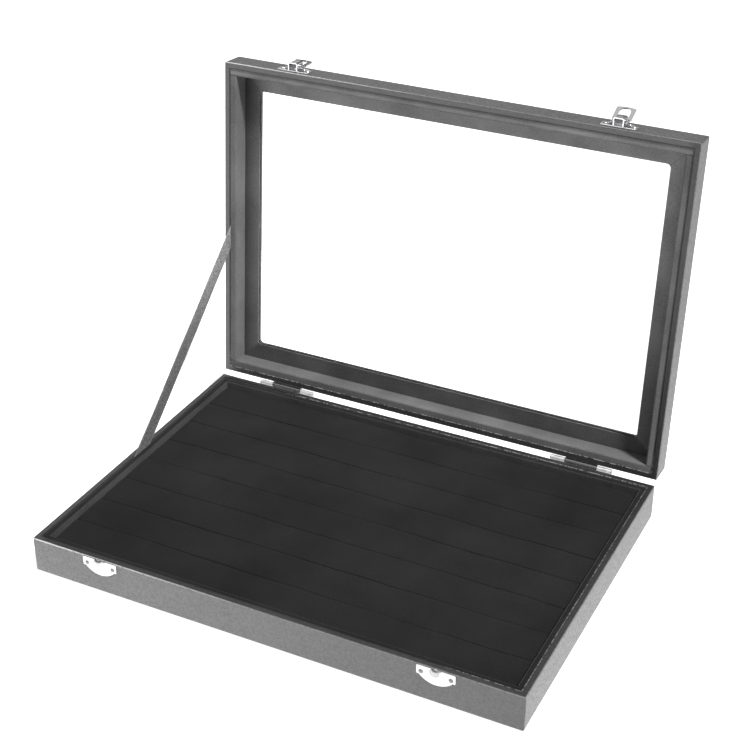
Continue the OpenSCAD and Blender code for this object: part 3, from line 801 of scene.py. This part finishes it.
class RINGCASE_OT_linings(bpy.types.Operator):
    """Finishes the velvet liners and the window frame."""

    bl_idname = "ringcase.linings"
    bl_label = "Velvet linings"

    def execute(self, context):
        colours = context.scene.ring_case_colours
        # Painted light and shade: each board's copy of the velvet is made lighter or darker, to
        # stand for how light falls on it
        for side, tone in (("front", 1.5), ("back", 0.82), ("left", 1.05), ("right", 1.0)):
            shade = [channel * tone for channel in colours.lining[:3]] + [1.0]
            dress(velvet(f"lid velvet, {side}", shade), f"lid_{side}_liner")
        dress(mitred_velvet("window frame velvet", colours.lining), "window_velvet_frame")
        right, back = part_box("base_right_liner"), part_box("base_back_liner")
        board = (right[0].x, back[0].y, right[1].x - right[0].x)
        # Painted shade: the base's liners take the darker copy of the velvet
        dark = velvet("base velvet", colours.shaded_base_lining, board=board)
        dress(dark, *(f"base_{side}_liner" for side in SIDES))
        return {"FINISHED"}


class RINGCASE_OT_pane(bpy.types.Operator):
    """Finishes the clear pane of the window."""

    bl_idname = "ringcase.pane"
    bl_label = "Window pane"

    def execute(self, context):
        dress(clear_pane("polished clear sheet"), "window_pane")
        return {"FINISHED"}


class RINGCASE_OT_rolls(bpy.types.Operator):
    """Builds the velvet-covered foam rolls."""

    bl_idname = "ringcase.rolls"
    bl_label = "Ring rolls"

    # Waves per metre: of a roll's top along and across it, of its grooves' line,
    # and of how far the pile closes over them
    top_along, top_across = 14, 30
    groove_line, groove_closing = 26, 9
    # Distances from a roll's end, closer together in its round
    end_steps = [e * MM for e in (0, 0.15, 0.3, 0.5, 0.8, 1.2)]

    def execute(self, context):
        scene = context.scene
        finish = velvet("roll velvet", scene.ring_case_colours.roll, sheen=0.08, nap_and_painted_light=45.5 * MM)
        for index, node in enumerate(ROLLS):
            verts, faces = self.roll(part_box(node), scene.ring_case_sizes, index)
            target = piece(f"velvet_{node}", verts, faces, "base", finish, "velvet_foam", node)
        return {"FINISHED"}

    def roll(self, box, sizes, index):
        """Crowned bar whose top wanders a little, rounded down at both ends."""
        lo, hi = box
        half, height = (hi.y - lo.y) / 2, hi.z - lo.z
        middle = (hi.y + lo.y) / 2
        length = hi.x - lo.x
        section = self.section(half, height, sizes)
        end_r = self.end_steps[-1]
        inner = sizes.stations
        steps = self.end_steps + [
            end_r + (length - 2 * end_r) * (i + 1) / inner for i in range(inner)
        ]
        steps += [length - end for end in reversed(self.end_steps[:-1])]
        sections = []
        for along in steps:
            edge = min(along, length - along)
            drop = end_r - math.sqrt(max(0.0, end_r * end_r - (end_r - min(edge, end_r)) ** 2))
            ring = []
            for y, z in section:
                up = z / height
                place = (along * self.top_along, y * self.top_across, index * 3.7)
                rise = sizes.wave * noise.noise(place) - sizes.wave * 0.3
                z_new = z - drop * up ** 4 + (rise * up ** 3 if z > 0 else 0)
                # Neighbours share the line of their groove, so both sides wander together
                groove = index + (1 if y > 0 else 0)
                stray = noise.noise((along * self.groove_line, groove * 5.1, 2.0))
                wander = sizes.wander * stray * up * abs(y) / half
                # The pile closes over most grooves, but not over those beside a liner
                closing = noise.noise((along * self.groove_closing, groove * 3.3, 5.0))
                shut = 0.62 + 0.9 * closing + 0.3 * (1 - along / length)
                if 0 < groove < len(ROLLS):
                    z_new += (height - z) * up ** 3 * min(max(shut, 0), 0.95)
                ring.append((lo.x + along, middle + y + wander, lo.z + z_new))
            sections.append(ring)
        return swept(sections)

    def section(self, half, height, sizes):
        """Outline of a roll from its lower left corner round to its lower right one."""
        r = sizes.shoulder
        crown = sizes.crown
        # Radius of the arc that crowns the top
        bow = (half * half + crown * crown) / (2 * crown)
        side = [(-half, 0.0), (-half, height * 0.4), (-half, height * 0.7)]
        corner = []
        corner_steps, top_steps = 8, 12
        for i in range(corner_steps + 1):
            turn = math.pi - i * math.pi / (2 * corner_steps)
            corner.append((-half + r + r * math.cos(turn), height - r + r * math.sin(turn)))
        top = [
            ((-half + r) + (2 * half - 2 * r) * i / top_steps, height) for i in range(1, top_steps)
        ]
        outline = corner + top + [(-y, z) for y, z in reversed(corner)]
        crowned = [(y, min(z, height - bow + math.sqrt(bow * bow - y * y))) for y, z in outline]
        return side + crowned + [(-y, z) for y, z in reversed(side)]


class RINGCASE_OT_ribbon(bpy.types.Operator):
    """Builds the ribbon stay between base and lid."""

    bl_idname = "ringcase.ribbon"
    bl_label = "Ribbon stay"

    # Where the ribbon leaves the base, and the shut lid, in Y and Z
    base_exit = (1.8 * MM, 26.4 * MM)
    lid_exit = (11.3 * MM, 26.6 * MM)
    # How far it is glued down behind each liner
    tail = 10 * MM
    thickness = 0.45 * MM
    curl = 0.5 * MM
    stations = 140

    def execute(self, context):
        scene = context.scene
        sizes = scene.ring_case_sizes
        lo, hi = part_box("stay_ribbon")
        x = (lo.x + hi.x) / 2
        start = Vector((x, *self.base_exit))
        end = opened((x, *self.lid_exit))
        run = end - start
        along = run.normalized()
        across = Vector((0, -along.z, along.y))
        length = run.length + 2 * self.tail
        # Nine points across the ribbon's one face, and nine back across the other
        faces_round = [(s / 4 - 1, 1) for s in range(9)] + [(1 - s / 4, -1) for s in range(9)]
        sections = []
        for i in range(self.stations + 1):
            at = -self.tail + length * i / self.stations
            share = min(max(at / run.length, 0), 1)
            # Held at both ends, free in the middle
            free = math.sin(math.pi * share)
            bow = sizes.ribbon_bow * free
            curl = self.curl * free * noise.noise((at * 18, 0.3, 7.1))
            middle = start + along * at - across * bow
            # The lower end spreads a little where it turns over the liner
            half = sizes.ribbon_width / 2 * (1 + 0.08 * max(0, 1 - share / 0.15))
            ring = []
            for side, face in faces_round:
                wobble = curl * (1 - 2 * abs(side)) if 0 < share < 1 else 0.0
                thin = 0.6 if abs(side) == 1 else 1.0
                offset = Vector((face * thin * self.thickness / 2 + wobble, 0, 0))
                ring.append(tuple(middle + across * side * half + offset))
            sections.append(ring)
        verts, faces = swept(sections)
        angle = math.atan2(along.z, along.y)
        finish = woven_ribbon("grosgrain ribbon", scene.ring_case_colours.ribbon, angle)
        target = piece("woven_stay_ribbon", verts, faces, None, finish, "ribbon", "stay_ribbon")
        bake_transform(target)
        return {"FINISHED"}


class RINGCASE_OT_fittings(bpy.types.Operator):
    """Finishes catches, hasps, hinges, pins and screws."""

    bl_idname = "ringcase.fittings"
    bl_label = "Metal fittings"

    def execute(self, context):
        colours = context.scene.ring_case_colours
        bright = plating("nickel plated pressed steel", colours.plating, roughness=0.18, dents=0.15)
        dull = plating("bright drawn steel", colours.steel, roughness=0.3, dents=0.1)
        # Painted light and shade: a near white copy of the metal for the base's hinge leaves, a
        # dark grey one for the lid's leaves and the screws
        lit = plating("satin nickel plate", colours.lit, roughness=0.5, dents=0.1)
        dark = plating("oiled steel", colours.shaded, roughness=0.25, dents=0.2)
        for side in ("left", "right"):
            dress(bright, f"{side}_catch_plate", f"{side}_hasp_plate", f"{side}_hasp_bracket")
            dress(dull, f"{side}_hasp_loop", f"{side}_hasp_pin")
            dress(dull, f"{side}_catch_knob", f"{side}_hinge_pin")
            dress(lit, f"{side}_hinge_base_leaf")
            dress(dark, f"{side}_hinge_lid_leaf")
        dress(dark, "catch_screws", "hinge_base_screws", "hinge_lid_screws")
        dress(dull, "hasp_screws", "hasp_rivets")
        return {"FINISHED"}


class RINGCASE_OT_springs(bpy.types.Operator):
    """Winds the coil spring on the pin of each catch loop."""

    bl_idname = "ringcase.springs"
    bl_label = "Coil springs"

    steps_per_turn = 18
    wire_sides = 8

    def execute(self, context):
        scene = context.scene
        steel = scene.ring_case_colours.steel
        finish = plating("bright spring wire", steel, roughness=0.25, dents=0.05)
        for side in ("left", "right"):
            node = f"{side}_hasp_spring"
            verts, faces = self.coil(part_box(node), scene.ring_case_sizes)
            piece(f"{side}_coil_spring", verts, faces, "lid", finish, "spring_steel", node)
        return {"FINISHED"}

    def coil(self, box, sizes):
        """Close-wound wire along X that fills the box."""
        lo, hi = box
        wire = sizes.spring_wire / 2
        radius = (hi.y - lo.y) / 2 - wire
        middle = (lo + hi) / 2
        run = hi.x - lo.x - 2 * wire
        turns = round(run / sizes.spring_pitch)
        steps = self.steps_per_turn * turns
        sections = []
        for i in range(steps + 1):
            turn = math.tau * turns * i / steps
            out = Vector((0, math.cos(turn), math.sin(turn)))
            centre = Vector((lo.x + wire + run * i / steps, middle.y, middle.z)) + out * radius
            ring = []
            for k in range(self.wire_sides):
                turn = math.tau * k / self.wire_sides
                offset = out * wire * math.cos(turn) + Vector((wire * math.sin(turn), 0, 0))
                ring.append(tuple(centre + offset))
            sections.append(ring)
        return swept(sections)


class RINGCASE_OT_stage(bpy.types.Operator):
    """Sets the table, the surroundings, the lamp and the camera."""

    bl_idname = "ringcase.stage"
    bl_label = "Stage"

    # Light on the table fades this way, between these places along it, in metres
    pool_way = (0.95, 0.3, 0)
    pool_from, pool_to = -0.2, 0.38

    def execute(self, context):
        self.table(context.scene)
        self.surroundings(context.scene)
        self.lamp(context.scene)
        self.camera(context.scene)
        context.scene.view_settings.view_transform = "Standard"
        return {"FINISHED"}

    def table(self, scene):
        """A white table that keeps the case's shadow."""
        material, tree, output, coords = new_material("white table")
        paint = add(tree, "ShaderNodeBsdfDiffuse", {"Color": linear("#e7e7e7")})
        # Seen directly the table is all but white, so only a faint shadow shows
        ray = add(tree, "ShaderNodeLightPath")
        seen = seen_by_eye(tree, ray)
        glow = add(tree, "ShaderNodeMath", {0: seen, 1: 0.8}, operation="MULTIPLY")
        glow = add(tree, "ShaderNodeEmission", {"Color": WHITE, "Strength": glow})
        direct = add(tree, "ShaderNodeAddShader", {0: paint, 1: glow})
        # In reflections it is a pool of light, brightest to the left of the case
        right = add(
            tree, "ShaderNodeVectorMath", {0: coords, 1: self.pool_way}, operation="DOT_PRODUCT"
        )
        pool = add(
            tree, "ShaderNodeMapRange",
            {
                "Value": right.outputs["Value"],
                "From Min": self.pool_from, "From Max": self.pool_to,
                "To Min": 2.08, "To Max": 0.92,
            },
        )
        mirrored = add(tree, "ShaderNodeEmission", {"Color": WHITE, "Strength": pool})
        surface = add(
            tree, "ShaderNodeMixShader", {0: ray.outputs["Is Glossy Ray"], 1: direct, 2: mirrored}
        )
        tree.links.new(surface.outputs[0], output.inputs["Surface"])
        size = scene.ring_case_stage.table
        corners = [(-size, -size, 0), (size, -size, 0), (size, size, 0), (-size, size, 0)]
        mesh = bpy.data.meshes.new("table")
        mesh.from_pydata(corners, [], [(0, 1, 2, 3)])
        mesh.materials.append(material)
        table = bpy.data.objects.new("table", mesh)
        scene.collection.objects.link(table)

    def surroundings(self, scene):
        """White all round to the eye; reflections show a dim wall and a pale ceiling."""
        world = bpy.data.worlds.new("studio")
        scene.world = world
        world.use_nodes = True
        tree = world.node_tree
        tree.nodes.clear()
        output = tree.nodes.new("ShaderNodeOutputWorld")
        coords = add(tree, "ShaderNodeTexCoord")
        # Z of a direction is the sine of its height above the horizon
        way = add(tree, "ShaderNodeSeparateXYZ", {0: coords.outputs["Generated"]})
        wall = add(
            tree, "ShaderNodeMapRange",
            {
                "Value": way.outputs["Z"], "From Min": 0.02, "From Max": 0.3,
                "To Min": 1.0, "To Max": 0.15,
            },
        )
        ceiling = add(
            tree, "ShaderNodeMapRange",
            {
                "Value": way.outputs["Z"], "From Min": 0.62, "From Max": 0.8,
                "To Min": 0.0, "To Max": 0.75,
            },
        )
        room = add(tree, "ShaderNodeMath", {0: wall, 1: ceiling}, operation="ADD")
        ray = add(tree, "ShaderNodeLightPath")
        seen = seen_by_eye(tree, ray)
        ambient = scene.ring_case_stage.ambient
        matt = add(tree, "ShaderNodeBackground", {"Color": WHITE, "Strength": ambient})
        mirrored = add(tree, "ShaderNodeBackground", {"Color": WHITE, "Strength": room})
        backdrop = add(tree, "ShaderNodeBackground", {"Color": WHITE, "Strength": 1.0})
        unseen = add(
            tree, "ShaderNodeMixShader", {0: ray.outputs["Is Glossy Ray"], 1: matt, 2: mirrored}
        )
        surface = add(tree, "ShaderNodeMixShader", {0: seen, 1: unseen, 2: backdrop})
        tree.links.new(surface.outputs[0], output.inputs["Surface"])

    def lamp(self, scene):
        """Key lamp above the right front corner, as the lid's inner shadows show."""
        stage = scene.ring_case_stage
        data = bpy.data.lights.new("key", "SUN")
        data.energy = stage.key * math.pi
        data.angle = stage.key_spread
        lamp = bpy.data.objects.new("key", data)
        toward = Vector(stage.key_way)
        lamp.rotation_euler = toward.to_track_quat("Z", "Y").to_euler()
        lamp.location = toward
        scene.collection.objects.link(lamp)

    def camera(self, scene):
        """Camera that stands and looks as the one in the photograph did."""
        stage = scene.ring_case_stage
        az, el = stage.azimuth, stage.elevation
        back = Vector((math.sin(az) * math.cos(el), -math.cos(az) * math.cos(el), math.sin(el)))
        right = Vector((math.cos(az), math.sin(az), 0))
        up = back.cross(right)
        lean = Matrix.Rotation(stage.lean, 3, back)
        right, up = lean @ right, lean @ up
        data = bpy.data.cameras.new("camera")
        data.sensor_fit = "HORIZONTAL"
        data.sensor_width = 36
        data.lens = stage.focal
        camera = bpy.data.objects.new("camera", data)
        place = back * stage.distance + right * stage.across + up * stage.above
        turn = Matrix((right, up, back)).transposed().to_4x4()
        camera.matrix_world = Matrix.Translation(place) @ turn
        scene.collection.objects.link(camera)
        scene.camera = camera


class RINGCASE_PT_panel(bpy.types.Panel):
    """Lists the steps that finish the case."""

    bl_label = "Ring case"
    bl_space_type = "VIEW_3D"
    bl_region_type = "UI"
    bl_category = "Ring case"

    def draw(self, context):
        for operator in OPERATORS:
            self.layout.operator(operator.bl_idname)
        for group in ("ring_case_colours", "ring_case_sizes", "ring_case_stage"):
            box = self.layout.box()
            settings = getattr(context.scene, group)
            for name in settings.__annotations__:
                box.prop(settings, name)


OPERATORS = (
    RINGCASE_OT_stage,
    RINGCASE_OT_covering,
    RINGCASE_OT_boards,
    RINGCASE_OT_linings,
    RINGCASE_OT_pane,
    RINGCASE_OT_rolls,
    RINGCASE_OT_ribbon,
    RINGCASE_OT_fittings,
    RINGCASE_OT_springs,
)
GROUPS = (RingCaseColours, RingCaseSizes, RingCaseStage)


def register():
    """Makes the settings, the operators and the panel known to Blender."""
    for cls in (*GROUPS, *OPERATORS, RINGCASE_PT_panel):
        bpy.utils.register_class(cls)
    bpy.types.Scene.ring_case_colours = PointerProperty(type=RingCaseColours)
    bpy.types.Scene.ring_case_sizes = PointerProperty(type=RingCaseSizes)
    bpy.types.Scene.ring_case_stage = PointerProperty(type=RingCaseStage)


def unregister():
    """Takes them all out again."""
    del bpy.types.Scene.ring_case_stage
    del bpy.types.Scene.ring_case_sizes
    del bpy.types.Scene.ring_case_colours
    for cls in reversed((*GROUPS, *OPERATORS, RINGCASE_PT_panel)):
        bpy.utils.unregister_class(cls)


def main():
    """Sets the stage and finishes every piece."""
    register()
    bpy.ops.ringcase.stage()
    bpy.ops.ringcase.covering()
    bpy.ops.ringcase.boards()
    bpy.ops.ringcase.linings()
    bpy.ops.ringcase.pane()
    bpy.ops.ringcase.rolls()
    bpy.ops.ringcase.ribbon()
    bpy.ops.ringcase.fittings()
    bpy.ops.ringcase.springs()


if __name__ == "__main__":
    main()
